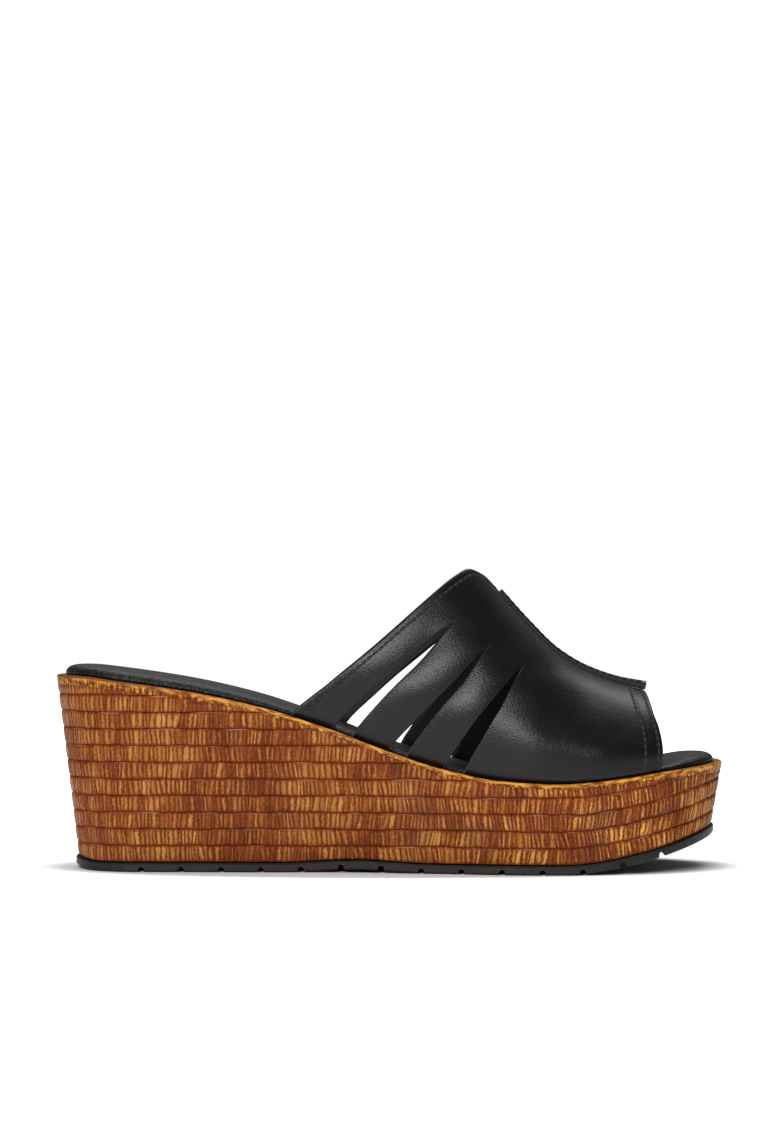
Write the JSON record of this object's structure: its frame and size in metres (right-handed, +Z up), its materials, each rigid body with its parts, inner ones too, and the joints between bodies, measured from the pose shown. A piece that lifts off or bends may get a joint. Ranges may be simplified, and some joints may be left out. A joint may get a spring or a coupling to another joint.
{
  "type": "platform slide",
  "caption": "Open backed wedge slide with a slit black leather upper, padded footbed, ribbed tan wedge and thin grooved rubber outsole.",
  "frame": {"origin": "on the floor under the middle of the shoe's box", "axes": "+X towards the toe, +Y towards the inner side of the foot, +Z up"},
  "size_m": [0.2458, 0.0878, 0.11],
  "materials": {
    "rubber": "moulded, matt",
    "wedge": "moulded polyurethane, tan staves on brown, low sheen",
    "footbed": "grained, matt",
    "leather": "smooth, soft gloss"
  },
  "bodies": {
    "root": {"outsole": "rubber", "wedge": "wedge", "insole": "footbed", "upper": "leather", "toe_band": "leather", "centre_strip": "leather"}
  },
  "joints": []
}
